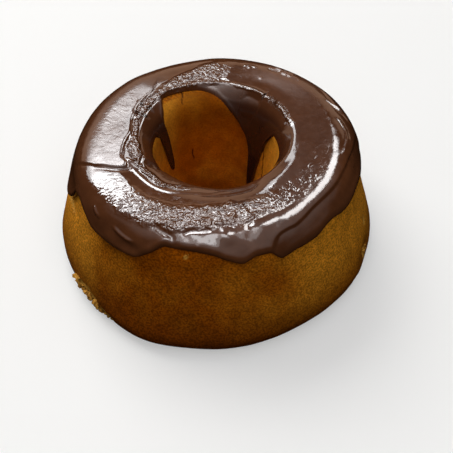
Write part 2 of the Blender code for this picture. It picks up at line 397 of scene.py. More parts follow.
@dataclass(frozen=True)
class Patch:
    """A stretch of crinkled icing between two runs that vary with azimuth.

    Both limits and the strength are (azimuth, value) pairs in order, and may pass 360 degrees.
    """

    inner: Pairs
    outer: Pairs
    strength: Pairs
    fade: float = 1.2

    def share(self, azimuth: Array, run: Array) -> Array:
        """How crinkled the icing is, from 0 to 1, at azimuths and runs in millimetres."""
        start = self.strength[0][0]
        turned = (azimuth - start) % 360 + start
        inner = np.interp(turned, *zip(*self.inner))
        outer = np.interp(turned, *zip(*self.outer))
        strength = np.interp(turned, *zip(*self.strength), right=0.0)
        within = smooth_step(-self.fade, self.fade, run - inner)
        within = within * smooth_step(-self.fade, self.fade, outer - run)
        return strength * within


@dataclass
class Ring:
    """A grid rolled up into a closed ring: stations around its cut, sides around the axis."""

    stations: int
    sides: int
    name: str
    radius: float = 2.0

    def roll(self) -> tuple[bpy.types.Mesh, Array, Array]:
        """Makes the ring.

        Returns:
            The mesh, each vertex's azimuth in degrees, and each vertex's place in the cut.
        """
        shape = bmesh.new()
        bmesh.ops.create_grid(shape, x_segments=self.stations, y_segments=self.sides, size=math.pi)
        for vertex in shape.verts:
            around_cut, around_axis = vertex.co.x, vertex.co.y
            radius = self.radius + math.cos(around_cut)
            vertex.co = (radius * math.cos(around_axis), radius * math.sin(around_axis), math.sin(around_cut))
        bmesh.ops.remove_doubles(shape, verts=shape.verts[:], dist=1e-5)
        mesh = bpy.data.meshes.new(self.name)
        shape.to_mesh(mesh)
        shape.free()
        places = np.array([vertex.co for vertex in mesh.vertices], float).reshape(-1, 3)
        azimuth = np.degrees(np.arctan2(places[:, 1], places[:, 0]))
        turn = np.arctan2(places[:, 2], np.hypot(places[:, 0], places[:, 1]) - self.radius)
        station = np.round((turn / (2 * math.pi) + 0.5) * self.stations).astype(int) % self.stations
        return mesh, np.round(azimuth, 3) % 360, station


def settle(mesh: bpy.types.Mesh, points: Array, masks: dict[Mask, Array]) -> None:
    """Moves a mesh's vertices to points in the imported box, turns its faces outwards, adds masks.

    Args:
        mesh: The mesh to shape.
        points: One place for each vertex.
        masks: Values from 0 to 1 for each vertex.
    """
    points = np.clip(points, *packed_box)
    mesh.vertices.foreach_set("co", points.astype(np.float32).ravel())
    shape = bmesh.new()
    shape.from_mesh(mesh)
    bmesh.ops.recalc_face_normals(shape, faces=shape.faces[:])
    if shape.calc_volume(signed=True) < 0:
        bmesh.ops.reverse_faces(shape, faces=shape.faces[:])
    shape.to_mesh(mesh)
    shape.free()
    mesh.shade_smooth()
    for mask, values in masks.items():
        layer = mesh.attributes.new(mask.value, "FLOAT", "POINT")
        layer.data.foreach_set("value", values.astype(np.float32))


def show(name: str, mesh: bpy.types.Mesh, material: bpy.types.Material) -> bpy.types.Object:
    """Adds a mesh to the scene as an object with one material."""
    mesh.materials.append(material)
    thing = bpy.data.objects.new(name, mesh)
    bpy.context.scene.collection.objects.link(thing)
    log.info("%s: %d triangles", name, sum(len(face.vertices) - 2 for face in mesh.polygons))
    return thing


class Wiring:
    """A node tree with short ways to add nodes and join them."""

    def __init__(self, tree: bpy.types.NodeTree) -> None:
        """Keeps the tree."""
        self.tree = tree

    def add(self, kind: str, settings: dict | None = None, **sockets) -> bpy.types.Node:
        """Adds a node.

        Args:
            kind: The node's type without its ShaderNode prefix.
            settings: The node's own properties.
            **sockets: Inputs by name, with underscores for spaces: a value, or a socket to join.

        Returns:
            The node.
        """
        node = self.tree.nodes.new("ShaderNode" + kind)
        for name, value in (settings or {}).items():
            setattr(node, name, value)
        for name, value in sockets.items():
            self.feed(node.inputs[name.replace("_", " ")], value)
        return node

    def feed(self, socket: Socket, value: object) -> None:
        """Sets an input's value, or joins it to an output."""
        if isinstance(value, Socket):
            self.tree.links.new(value, socket)
        elif value is not None:
            socket.default_value = value

    def math(self, operation: str, first: object, second: object) -> Socket:
        """Works out a sum, product or power of two values."""
        node = self.add("Math", {"operation": operation})
        self.feed(node.inputs[0], first)
        self.feed(node.inputs[1], second)
        return node.outputs[0]

    def between(self, share: object, first: object, second: object) -> Socket:
        """Mixes two numbers by a share."""
        node = self.add("Mix", {"data_type": "FLOAT"})
        self.feed(node.inputs[0], share)
        self.feed(node.inputs[2], first)
        self.feed(node.inputs[3], second)
        return node.outputs[0]

    def blend(self, share: object, first: object, second: object, how: str = "MIX") -> Socket:
        """Mixes two colours by a share."""
        node = self.add("Mix", {"data_type": "RGBA", "blend_type": how})
        self.feed(node.inputs[0], share)
        self.feed(node.inputs[6], first)
        self.feed(node.inputs[7], second)
        return node.outputs[2]

    def tint(self, colour: object, shade: object) -> Socket:
        """Multiplies a colour by a shade."""
        return self.blend(1.0, colour, shade, "MULTIPLY")

    def mask(self, mask: Mask) -> Socket:
        """Reads one of the surface's masks."""
        return self.add("Attribute", {"attribute_name": mask.value}).outputs["Fac"]

    def spread(self, value: object, low: float, high: float, start: float, end: float) -> Socket:
        """Maps a value from one range to another, smoothly and without passing the ends."""
        node = self.add("MapRange", {"interpolation_type": "SMOOTHSTEP"})
        for name, number in zip(("From Min", "From Max", "To Min", "To Max"), (low, high, start, end)):
            node.inputs[name].default_value = number
        self.feed(node.inputs["Value"], value)
        return node.outputs["Result"]


def new_group(name: str, inputs: dict[str, float], outputs: tuple[str, ...]) -> Wiring:
    """Starts a node group with number inputs and number outputs."""
    tree = bpy.data.node_groups.new(name, "ShaderNodeTree")
    for title, value in inputs.items():
        socket = tree.interface.new_socket(title, in_out="INPUT", socket_type="NodeSocketFloat")
        socket.default_value = value
    for title in outputs:
        tree.interface.new_socket(title, in_out="OUTPUT", socket_type="NodeSocketFloat")
    return Wiring(tree)


class SharedEffects:
    """The node groups that more than one finish uses, each built once."""

    def __init__(self) -> None:
        """Builds the groups."""
        self.mottle = self.build_mottle()
        self.wrinkle = self.build_wrinkle()

    @staticmethod
    def build_mottle() -> bpy.types.NodeTree:
        """Soft blotches of one size, as a mask and a height."""
        inputs = {"Scale": 100.0, "Detail": 3.0, "Low": 0.35, "High": 0.65}
        wiring = new_group("mottle", inputs, ("Mask", "Height"))
        given = wiring.tree.nodes.new("NodeGroupInput")
        place = wiring.add("TexCoord")
        cloud = wiring.add(
            "TexNoise",
            Vector=place.outputs["Object"],
            Scale=given.outputs["Scale"],
            Detail=given.outputs["Detail"],
            Roughness=0.55,
        )
        spread = wiring.add("MapRange", Value=cloud.outputs["Fac"])
        wiring.feed(spread.inputs["From Min"], given.outputs["Low"])
        wiring.feed(spread.inputs["From Max"], given.outputs["High"])
        result = wiring.tree.nodes.new("NodeGroupOutput")
        wiring.feed(result.inputs["Mask"], spread.outputs["Result"])
        wiring.feed(result.inputs["Height"], cloud.outputs["Fac"])
        return wiring.tree

    @staticmethod
    def build_wrinkle() -> bpy.types.NodeTree:
        """Small folded wrinkles, as a height."""
        wiring = new_group("wrinkle", {"Scale": 600.0, "Fold": 0.8}, ("Height",))
        given = wiring.tree.nodes.new("NodeGroupInput")
        place = wiring.add("TexCoord")
        cloud = wiring.add(
            "TexNoise",
            Vector=place.outputs["Object"],
            Scale=given.outputs["Scale"],
            Detail=0.6,
            Distortion=given.outputs["Fold"],
        )
        result = wiring.tree.nodes.new("NodeGroupOutput")
        wiring.feed(result.inputs["Height"], cloud.outputs["Fac"])
        return wiring.tree

    def place(self, wiring: Wiring, tree: bpy.types.NodeTree, **sockets) -> bpy.types.Node:
        """Puts a shared group into a material with its own values."""
        node = wiring.tree.nodes.new("ShaderNodeGroup")
        node.node_tree = tree
        for name, value in sockets.items():
            wiring.feed(node.inputs[name], value)
        return node


def start_material(name: str) -> tuple[bpy.types.Material, Wiring, bpy.types.Node]:
    """Starts a node material.

    Args:
        name: The material's name.

    Returns:
        The material, its wiring, and its Principled shader.
    """
    material = bpy.data.materials.new(name)
    material.use_nodes = True
    return material, Wiring(material.node_tree), material.node_tree.nodes["Principled BSDF"]


@dataclass(frozen=True)
class CrustFinish:
    """Baked crust: golden brown and matt, with a fine sandy crumb, pores darkened as painted shade, and torn
    spots.

    The golden painted light, at the crust's left and right sides and on the hole's bare strips, is given as
    (x where it starts, x where it is full, strength), right and left.
    """

    brown: Colour = (0.275, 0.063, 0.0005)
    golden: Colour = (0.64, 0.25, 0.018)
    # Painted shade, for the foot's contact shadow and for the pores.
    painted_shade: Colour = (0.13, 0.028, 0.0008)
    torn: Colour = (0.66, 0.34, 0.06)
    # Painted shade in the cracks of the hole's wall.
    crack_shade: Colour = (0.022, 0.005, 0.002)
    # Painted light: golden at the crust's left and right sides, and on the hole's bare strips.
    painted_light_sides: Rows = ((0.012, 0.085, 1.05), (-0.06, -0.084, 1.3))
    painted_light_strips: Rows = ((0.018, 0.031, 0.95), (-0.019, -0.031, 0.5))
    golden_blotches: float = 0.38
    pore_scale: float = 420.0
    pore_depth: float = 0.5
    roughness: tuple[float, float] = (0.70, 0.95)
    specular: float = 0.02
    bump_strength: float = 0.6
    bump_distance: float = 0.5 * MM

    def browning_light_and_shade(
        self, wiring: Wiring, effects: SharedEffects, axes: bpy.types.Node, hole: Socket
    ) -> Socket:
        """The broad colour: golden blotches of the crust's own tone, golden painted light at both sides and
        on the hole's strips, and painted shade darkening the foot.
        """
        across = axes.outputs["X"]
        broad = effects.place(wiring, effects.mottle, Scale=28.0, Detail=3.0, Low=0.36, High=0.66)
        # Painted light: the sides and the hole's strips are painted golden by how far left or right they
        # stand, as if lit there.
        sides, strips = (
            wiring.math("ADD", *(wiring.spread(across, low, high, 0.0, most) for low, high, most in rows))
            for rows in (self.painted_light_sides, self.painted_light_strips)
        )
        share = wiring.math("MULTIPLY", broad.outputs["Mask"], self.golden_blotches)
        share = wiring.math("ADD", share, wiring.math("ADD", sides, wiring.math("MULTIPLY", strips, hole)))
        share = wiring.spread(share, 0.0, 1.0, 0.0, 1.0)
        colour = wiring.blend(share, (*self.brown, 1), (*self.golden, 1))
        # Painted shade: the crust darkens towards the floor as a painted contact shadow, outside the hole.
        foot = wiring.spread(axes.outputs["Z"], 0.046, 0.004, 0.0, 1.0)
        foot = wiring.math("MULTIPLY", foot, wiring.math("SUBTRACT", 1.0, hole))
        return wiring.blend(foot, colour, (*self.painted_shade, 1))

    def dress(self, effects: SharedEffects) -> bpy.types.Material:
        """Builds the material."""
        material, wiring, shader = start_material("baked_crust")
        place = wiring.add("TexCoord").outputs["Object"]
        axes = wiring.add("SeparateXYZ", Vector=place)
        hole = wiring.mask(Mask.HOLE)
        blotch = effects.place(wiring, effects.mottle, Scale=130.0, Detail=4.0, Low=0.34, High=0.68)
        sand = effects.place(wiring, effects.mottle, Scale=900.0, Detail=2.0, Low=0.34, High=0.66)
        colour = self.browning_light_and_shade(wiring, effects, axes, hole)
        colour = wiring.tint(colour, wiring.spread(blotch.outputs["Mask"], 0.0, 1.0, 0.86, 1.1))
        # Painted light and shade: the hole's wall is painted brighter low down and darker near its top.
        painted_hole_light = wiring.spread(axes.outputs["Z"], 0.03, 0.074, 1.28, 0.85)
        colour = wiring.blend(hole, colour, wiring.tint(colour, painted_hole_light))
        shade = wiring.spread(sand.outputs["Mask"], 0.0, 1.0, 0.68, 1.44)
        calmer = wiring.spread(hole, 0.0, 1.0, 1.0, 0.35)
        shade = wiring.math("MULTIPLY", wiring.math("SUBTRACT", shade, 1.0), calmer)
        colour = wiring.tint(colour, wiring.math("ADD", shade, 1.0))
        # Painted shade: the pores are painted with the shade colour, as well as being sunk by the bump.
        cells = wiring.add("TexVoronoi", Vector=place, Scale=self.pore_scale, Randomness=1.0)
        pore = wiring.spread(cells.outputs["Distance"], 0.12, 0.24, 0.55, 0.0)
        pore = wiring.math("MULTIPLY", pore, blotch.outputs["Mask"])
        colour = wiring.blend(pore, colour, (*self.painted_shade, 1))
        ragged = wiring.spread(blotch.outputs["Height"], 0.35, 0.62, 0.35, 1.0)
        ragged = wiring.math("MULTIPLY", wiring.mask(Mask.TORN), ragged)
        colour = wiring.blend(ragged, colour, (*self.torn, 1))
        # Painted shade: the cracks are painted near black.
        colour = wiring.blend(wiring.mask(Mask.MARK), colour, (*self.crack_shade, 1))
        wiring.feed(shader.inputs["Base Color"], colour)
        roughness = wiring.spread(sand.outputs["Mask"], 0.0, 1.0, *self.roughness)
        wiring.feed(shader.inputs["Roughness"], roughness)
        shader.inputs["Specular IOR Level"].default_value = self.specular
        fine = wiring.spread(hole, 0.0, 1.0, 0.7, 0.2)
        height = wiring.math("MULTIPLY", sand.outputs["Height"], fine)
        height = wiring.math("ADD", height, blotch.outputs["Height"])
        height = wiring.math("SUBTRACT", height, wiring.math("MULTIPLY", pore, self.pore_depth))
        bump = wiring.add("Bump", Strength=self.bump_strength, Distance=self.bump_distance, Height=height)
        wiring.feed(shader.inputs["Normal"], bump.outputs["Normal"])
        return material


@dataclass(frozen=True)
class IcingFinish:
    """Set chocolate icing: brown and glossy, smooth where it ran and crinkled where it set, with painted
    shade down in the hole.
    """

    milk: Colour = (0.100, 0.034, 0.013)
    bitter: Colour = (0.074, 0.025, 0.010)
    # Painted shade for the icing down in the hole.
    inner: Colour = (0.026, 0.007, 0.004)
    smooth_roughness: tuple[float, float] = (0.06, 0.13)
    crinkled_roughness: float = 0.12
    dull_roughness: float = 0.31
    pit_share: float = 0.22
    film_share: float = 0.04
    bump_distance: float = 2.3 * MM

    def dress(self, effects: SharedEffects) -> bpy.types.Material:
        """Builds the material."""
        material, wiring, shader = start_material("chocolate_icing")
        broad = effects.place(wiring, effects.mottle, Scale=22.0, Detail=3.0, Low=0.35, High=0.65)
        film = effects.place(wiring, effects.mottle, Scale=240.0, Detail=4.0, Low=0.3, High=0.7)
        crinkle = wiring.mask(Mask.CRINKLE)
        colour = wiring.blend(broad.outputs["Mask"], (*self.bitter, 1), (*self.milk, 1))
        colour = wiring.tint(colour, wiring.spread(film.outputs["Mask"], 0.0, 1.0, 0.93, 1.06))
        # Painted shade: the icing darkens down in the hole.
        shadow = wiring.spread(wiring.mask(Mask.HOLE), 0.0, 1.0, 0.0, 0.7)
        wiring.feed(shader.inputs["Base Color"], wiring.blend(shadow, colour, (*self.inner, 1)))
        roughness = wiring.spread(film.outputs["Mask"], 0.0, 1.0, *self.smooth_roughness)
        roughness = wiring.between(crinkle, roughness, self.crinkled_roughness)
        roughness = wiring.between(wiring.mask(Mask.DULL), roughness, self.dull_roughness)
        wiring.feed(shader.inputs["Roughness"], roughness)
        fold = effects.place(wiring, effects.wrinkle, Scale=250.0, Fold=1.3)
        pit = effects.place(wiring, effects.wrinkle, Scale=900.0, Fold=0.6)
        pits = wiring.math("MULTIPLY", pit.outputs["Height"], self.pit_share)
        height = wiring.math("MULTIPLY", wiring.math("ADD", fold.outputs["Height"], pits), crinkle)
        films = wiring.math("MULTIPLY", film.outputs["Height"], self.film_share)
        height = wiring.math("ADD", height, films)
        bump = wiring.add("Bump", Strength=1.0, Distance=self.bump_distance, Height=height)
        wiring.feed(shader.inputs["Normal"], bump.outputs["Normal"])
        return material


@dataclass(frozen=True)
class FloorFinish:
    """Plain pale floor, with a breath of unevenness."""

    pale: Colour = (0.62, 0.62, 0.62)
    glow: float = 0.335
    roughness: float = 0.9
    specular: float = 0.1

    def dress(self, effects: SharedEffects) -> bpy.types.Material:
        """Builds the material."""
        material, wiring, shader = start_material("pale_floor")
        cloud = effects.place(wiring, effects.mottle, Scale=3.0, Detail=2.0, Low=0.3, High=0.7)
        shade = wiring.spread(cloud.outputs["Mask"], 0.0, 1.0, 0.99, 1.01)
        wiring.feed(shader.inputs["Base Color"], wiring.tint((*self.pale, 1), shade))
        shader.inputs["Roughness"].default_value = self.roughness
        shader.inputs["Specular IOR Level"].default_value = self.specular
        shader.inputs["Emission Color"].default_value = (1, 1, 1, 1)
        shader.inputs["Emission Strength"].default_value = self.glow
        return material


OUTER_RUNS: Pairs = (
    (4, 35), (14, 32.5), (30, 34), (47, 42), (60, 35), (80, 32), (100, 37), (117, 45), (131, 36),
    (148, 33), (163, 38), (176, 39), (184, 44), (191, 48), (195.5, 43), (199, 34.5), (205, 32),
    (211, 33.5), (218, 36.8), (228, 36.1), (238, 34.5), (244, 29), (250, 23), (261, 23.3),
    (268, 24.5), (274, 27.5), (279, 29.4), (284, 26.8), (289, 26.6), (294, 31.4), (300, 29.8),
    (308, 29.8), (318, 27.5), (328, 29.8), (340, 30.4), (352, 34),
)
INNER_RUNS: Pairs = (
    (4, 24.5), (20, 25), (27, 31.5), (33, 41), (38, 55), (43, 75), (47, 86), (50, 78), (52, 54),
    (57, 42), (63, 36), (70, 29.6), (77, 24.5), (83, 20.1), (91, 15.3), (103, 11.1), (122, 8.8),
    (130, 8.2), (134, 11), (138, 16.2), (142, 20), (145, 25), (146.6, 40), (148.2, 57), (150.5, 61),
    (152.8, 57), (154.4, 42), (157, 27), (164, 22.9), (185, 22.5), (200, 24), (214, 28),
    (228, 24), (246, 26), (262, 31), (276, 26), (292, 24), (310, 27), (324, 34), (337, 27), (350, 24),
)


@dataclass
class IcingCoat:
    """The poured icing: a skin over the crown, shoulder and rim, with drips at both of its edges.

    Its sizes and runs are in millimetres and its azimuths in degrees.
    """

    crust: CrustLine
    sides: int = 720
    top_stations: int = 112
    under_stations: int = 20
    crown_thickness: float = 2.4
    edge_thickness: float = 3.1
    hole_thickness: float = 1.8
    edge_backs: tuple[float, ...] = (0.0, 0.12, 0.35, 0.7, 1.15, 1.7, 2.4, 3.3)
    edge_round: float = 2.3
    edge_sink: float = -0.15
    under_sink: float = -0.05
    under_inset: float = 0.5
    drip_azimuth: float = 148
    drip_reach: float = 16
    drip_crowding: float = 0.5
    drip_lean: float = -7
    rim_crest: Pairs = (
        (206, 3.5), (215, 2.0), (229, 2.6), (242, 0.5), (256, -2.0), (274, -5.3), (290, -5.0), (316, -4.0),
    )
    rim_fall: float = 0.16
    rim_roll: tuple[float, ...] = (258, -22, 45, 6, 3.2)
    back_fall: float = 0.085
    back_middle: float = 114
    back_reach: float = 22
    # Even grain over the icing and finer grain in its crinkles: height, size and seed.
    grains: Rows = ((0.16, 17, 3.1), (0.05, 6, 7.7))
    crinkle_grains: Rows = ((0.14, 3.2, 1.3), (0.11, 1.7, 5.9))
    # Dimples on the shoulder in front, as a lump.
    dimples: tuple[float, ...] = (270, 17, 28, 6, 0.6)
    # The thick bead along the outer edge and along the hole's: height, way back and width.
    beads: Rows = ((0.35, 3.4, 2.0), (0.2, 2.6, 1.6))
    deepest: float = -1.4
    deeper_in_hole: float = -0.5
    pour_height: float = 0.9
    pour_edge: Pairs = (
        (124, 8), (130, 1.5), (134, -0.9), (140, -1.2), (146, -1.9), (151, -2.7), (157, -4.4),
        (163, -5.3), (169, -6.7), (175, -7.2), (181, -5.6), (186, -4.2), (192, -2.8), (197, -2.2),
        (202, -3.4), (205, -1.8), (204, 2), (202, 6), (199.5, 10.5), (197.5, 14.3), (194, 19), (190, 25),
    )
    creases: tuple[Crease, ...] = (
        # The raised edge of the thick left pour and the groove along it.
        Crease(((133, -1.2), (140, -1.4), (146, -2.1), (151, -2.9), (157, -4.6), (163, -5.5), (169, -6.9),
                (175, -7.4), (181, -5.8), (186, -4.4), (192, -3.0), (197, -2.4)), 0.3, 0.65),
        Crease(((134, -2.6), (140, -2.9), (146, -3.6), (151, -4.4), (157, -6.0), (163, -7.0), (169, -8.4),
                (175, -8.8), (181, -7.3), (186, -5.9), (192, -4.5), (197, -4.0)), -0.45, 0.8),
        # The trough below the pour's lower end, and that end.
        Crease(((207.6, -5.5), (206.6, -1.8), (205.1, 3), (202.6, 8), (200, 12.5), (197.5, 16)), -0.32, 1.5),
        Crease(((206, -6), (205, -1.8), (203.5, 3), (201, 8), (198.5, 12.5), (196, 16)), 0.15, 0.8),
        # The crinkled strip's lower end.
        Crease(((197, -3.6), (200.5, -5.5), (204, -6.6), (206.5, -8), (205, -10.6), (201, -12.3), (195, -13)),
               0.35, 0.7, 0.2, 1.0, 4.0),
        Crease(((193, -8.3), (197, -8.6), (201, -9.4), (204, -8.9)), -0.5, 0.8),
        # The rim's fine ridge, from the left round to the front.
        Crease(((206.5, -5.0), (212, -5.6), (220, -6.3), (228, -7.0), (236, -8.3), (243, -10.4), (250, -12.6),
                (258, -13.9), (266, -14.6), (274, -16.2), (284, -17)), 0.3, 0.6, taper=0.1),
        # The rim's tight bend on the right and on the left.
        Crease(((132, -8.6), (125, -8), (116, -7.6), (106, -7.3), (96, -7.2), (88, -7.6), (81, -8.2),
                (72, -8.8), (63, -9.4), (55, -10.1), (49, -10.5)),
               0.32, 1.5, taper=0.08, bend=2.1, bend_reach=4.0),
        Crease(((67, -9.2), (60, -9.7), (52, -10.3), (46, -10.7), (40, -10.9), (33, -11.1),
                (20, -10.8), (8, -10.7), (-3, -12), (-18, -13), (-40, -15.1), (-55, -16.5)),
               0.42, 1.8, taper=0.07, bend=1.6, bend_reach=4.2),
        Crease(((208, -10.6), (201, -12.4), (190, -12.9), (178, -11.9), (168, -11.0), (155, -10), (140, -9),
                (134, -8.8)), 0.1, 1.2, taper=0.06, bend=1.5),
        # The lip above the skirt on the right.
        Crease(((289, 26.5), (291, 23.3), (292.5, 20.6), (295, 18.4), (299, 17.6), (303, 17.6), (308, 16.6),
                (313, 15.6), (319, 15.3), (325, 15.5), (331, 15.9), (337, 16.2), (343, 17), (349, 18.1),
                (356, 20.6), (363, 23.5), (369, 27)), 0.32, 0.55, -0.95, 2.2, 16.0, 0.05),
        # Folds where the icing slid over itself on the right.
        Crease(((38, 21), (33, 20), (27, 19), (21, 19.5), (18, 23), (16, 28)), 0.45, 0.8, -0.3, 1.4, 4.0),
        Crease(((30, 15.5), (24, 17.6), (19, 20.5), (14, 23.4), (11, 28)), 0.4, 0.75, -0.3, 1.4, 4.0),
        Crease(((16, 15), (9, 16.6), (3, 17.2), (-4, 16.3), (-12, 14.4)), 0.3, 0.7, -0.2, 1.4, 3.0),
        # Slits that catch the light on the left drips.
        Crease(((214, 23.4), (217, 25), (220.5, 26)), 0.9, 0.75, taper=0.3),
        Crease(((226, 24.2), (229, 24.9), (232, 25.5), (235.4, 25.8), (239, 25.5)), 1.0, 0.75, taper=0.3),
        # The bright end of the crinkled strip at the back.
        Crease(((83, -6), (82.4, 2), (81, 9), (80, 15)), 0.4, 3.0, taper=0.12),
        # Small ridges at the back.
        Crease(((62, 17.3), (58, 16.2), (54, 13.4), (49, 14.6), (44, 13.8)), 0.9, 1.2, -0.3, 1.4, 3.0),
        Crease(((64, 14.5), (60, 13.4), (55, 16.6), (50, 17.6)), -0.9, 1.0),
        Crease(((76, 10.6), (72, 11.6), (68, 11.0)), 0.45, 0.7),
        # Dips and swells on the shoulder in front.
        Crease(((240, 14.6), (244, 15), (248, 16.2), (251, 17.6), (253, 19.6)), -0.5, 1.3),
        Crease(((255, 16), (257.5, 13.8), (261, 12.6), (265, 11.9), (268, 11.2)), -0.55, 1.2),
        Crease(((269, 9.8), (272, 9.2), (275, 9.3), (278, 10.1)), -0.4, 0.8),
        Crease(((283, 13), (284, 10.5), (286.5, 9.5)), -0.3, 1.3),
    )
    lumps: Rows = (
        # Azimuth, run, reach around in degrees, reach along the run, height in millimetres.
        (248, 19.4, 3.0, 2.4, 0.55),
        (253.5, 21.5, 2.0, 3.0, -0.45),
        (262, 20.5, 0.8, 0.55, 0.4),
        (262, 16.5, 4.5, 3.0, 0.4),
        (272, 14.5, 5.0, 2.8, 0.35),
        (277, 20, 5.0, 3.0, -0.3),
        (289.5, 12.5, 4.0, 3.4, 0.35),
        (296, 14, 2.5, 2.5, -0.2),
        (220, 23, 6.0, 3.5, 0.5),
        (228.5, 30.5, 4.0, 3.0, 0.8),
        (237, 28.5, 5.0, 2.0, -0.7),
        (237, 31.8, 6.0, 1.5, 0.5),
        (190, 42, 4.5, 6.0, 0.9),
        (226, 20, 14.0, 4.0, 0.3),
        (307, 25, 6.0, 2.5, 0.25),
        (345, 25, 12.0, 3.0, -0.35),
        (62, 2.8, 0.9, 0.8, 0.25),
        (72, 9.8, 0.9, 0.7, 0.3),
    )
    patches: tuple[Patch, ...] = (
        Patch(
            ((206, 3.0), (215, 1.5), (229, 2.3), (235, 1.5), (242, 0), (248, -0.9), (256, -2.5), (264, -3.9),
             (274, -5.8), (281, -6.8), (290, -5.2), (301, -4.6), (310, -2.6), (325, -3.5), (360, -3)),
            ((206, 19), (225, 18.5), (238, 16.0), (245, 14.3), (251, 15.4), (254, 13.6), (258, 11.6),
             (263, 11.0), (270, 9.3), (278, 8.3), (285, 7.5), (292, 6.5), (298, 6.2), (307, 6.8),
             (320, 8), (340, 9), (360, 7)),
            ((203, 0), (207, 0.1), (218, 0.2), (228, 0.6), (240, 1.0), (285, 1.0), (298, 0.5), (312, 0.17),
             (335, 0.08), (350, 0.05), (366, 0.03), (392, 0)),
            2.4,
        ),
        Patch(
            ((136, -7.6), (146, -8.8), (162, -8.8), (168, -10.0), (177, -10.9), (185, -11.8), (194, -12.3),
             (201, -11.3), (206, -8.5)),
            ((136, -2.6), (142, -2.8), (150, -4.2), (160, -6.2), (168, -7.8), (175, -9.0), (182, -7.4),
             (189, -6.0), (195, -6.6), (200, -7.0), (206, -7)),
            ((134, 0.8), (138, 1.0), (203, 1.0), (207, 0)),
            0.6,
        ),
        Patch(
            ((70, -8.5), (112, -8.6), (118, -7.6), (125, -6.9), (132, -8.1), (138, -8)),
            ((70, 16), (92, 13), (100, 9.5), (105, 6.5), (111, 4.8), (118, 1.8), (125, 0.3),
             (130, -1.9), (138, -3.6)),
            ((70, 0), (80, 0.08), (87, 0.2), (92, 0.6), (105, 0.9), (136, 1.0), (138, 0)),
            1.5,
        ),
        Patch(
            ((206, -12.0), (221, -13.0), (231, -13.0), (239, -16.4), (250, -18.0)),
            ((206, -8.3), (221, -9.4), (231, -10.2), (239, -12.2), (250, -15.5)),
            ((205, 0), (209, 1.0), (236, 1.0), (244, 0.7), (252, 0)),
            0.7,
        ),
        Patch(
            ((15, -12.2), (33, -12.1), (48, -11.6), (63, -10.4), (78, -9.4)),
            ((15, -9.4), (33, -9.7), (48, -9.2), (63, -8.0), (78, -7.0)),
            ((12, 0), (22, 0.5), (70, 0.5), (80, 0)),
            0.6,
        ),
        Patch(
            ((130, 0.5), (140, 0.5), (157, -2.4), (175, -5.2), (186, -2.2), (200, -0.2)),
            ((130, 13), (150, 14.5), (175, 16), (190, 15), (200, 8)),
            ((132, 0.01), (140, 0.04), (150, 0.07), (185, 0.07), (198, 0.05), (203, 0)),
            2.0,
        ),
    )

    def crowd(self, azimuth: Array) -> Array:
        """Draws evenly spaced azimuths together beside the narrow drip."""
        turn = turn_between(azimuth, self.drip_azimuth)
        return (azimuth - self.drip_crowding * turn * bell(turn, self.drip_reach)) % 360

    def thickness(self, azimuth: Array, run: Array) -> Array:
        """The even part of the icing's thickness in millimetres, at runs in millimetres."""
        towards_edge = smooth_step(12, 30, run)
        into_hole = smooth_step(8, 24, -run)
        depth = self.crown_thickness + (self.edge_thickness - self.crown_thickness) * towards_edge
        depth = depth + (self.hole_thickness - self.crown_thickness) * into_hole
        roll = hump(azimuth, run, self.rim_roll)
        crest = np.interp(azimuth, *zip(*self.rim_crest))
        fall = self.rim_fall * np.clip(crest - run, 0, 10) * (1 - smooth_step(-16, -26, run))
        return depth + roll - window(azimuth, (200, 210), (296, 316)) * fall

    def pour(self, azimuth: Array, run: Array, sheet: Array) -> Array:
        """The thick later pour on the left of the crown, in millimetres."""
        distance, _ = Crease(self.pour_edge, 0, 1).measure(self.crust, sheet)
        below_end = smooth_step(198, 206, azimuth) * smooth_step(14, 20, run)
        body = smooth_step(-0.6, 1.0, distance) * window(azimuth, (122, 134), (203, 212)) * (1 - below_end)
        return self.pour_height * body * (1 - smooth_step(15, 33, run))

    def crinkle(self, azimuth: Array, run: Array, ragged: Array) -> Array:
        """How crinkled the icing is, from 0 to 1, at runs in millimetres, with ragged limits."""
        most = np.zeros_like(run)
        for patch in self.patches:
            most = np.maximum(most, patch.share(azimuth, run + ragged))
        return most * np.clip(0.8 + 0.25 * ragged, 0.35, 1.0)

    def runs(self, station: Array, outer: Array, inner: Array) -> Array:
        """The run of each vertex: over the top, closer together at both edges, and back underneath.

        Args:
            station: Each vertex's place in the cut.
            outer: The outer edge's run there, in millimetres.
            inner: The run of the edge in the hole there, in millimetres.

        Returns:
            The runs, in millimetres.
        """
        backs = np.array(self.edge_backs)
        count = len(backs)
        middle = self.top_stations - 2 * count
        spread = (station - count + 1) / (middle + 1)
        run = outer - backs[-1] + (inner - outer + 2 * backs[-1]) * spread
        run = np.where(station < count, outer - backs[np.minimum(station, count - 1)], run)
        last = self.top_stations - 1 - station
        run = np.where((last >= 0) & (last < count), inner + backs[np.clip(last, 0, count - 1)], run)
        share = (station - self.top_stations + 1) / (self.under_stations + 1)
        under = inner + self.under_inset + (outer - inner - 2 * self.under_inset) * share
        return np.where(station >= self.top_stations, under, run)

    def relief(self, azimuth: Array, run: Array, flat: Array, crinkle: Array) -> Array:
        """How far the icing stands above its even thickness.

        Args:
            azimuth: In degrees.
            run: In millimetres.
            flat: The points on the crust there, in metres.
            crinkle: How crinkled the icing is there, from 0 to 1.

        Returns:
            The heights, in millimetres.
        """
        sheet = self.crust.sheet(azimuth, run * MM)
        relief = self.pour(azimuth, run, sheet)
        for crease in self.creases:
            relief = relief + crease.relief(self.crust, sheet)
        for lump in self.lumps:
            relief = relief + hump(azimuth, run, lump)
        at_back = bell(turn_between(azimuth, self.back_middle), self.back_reach)
        relief = relief - self.back_fall * np.clip(run - 3, 0, 9) * at_back
        for height, size, seed in self.grains:
            relief = relief + height * grain(flat, size, seed)
        relief = relief + hump(azimuth, run, self.dimples) * grain(flat, 7, 2.9)
        fine = sum(height * grain(flat, size, seed) for height, size, seed in self.crinkle_grains)
        return relief + crinkle * fine

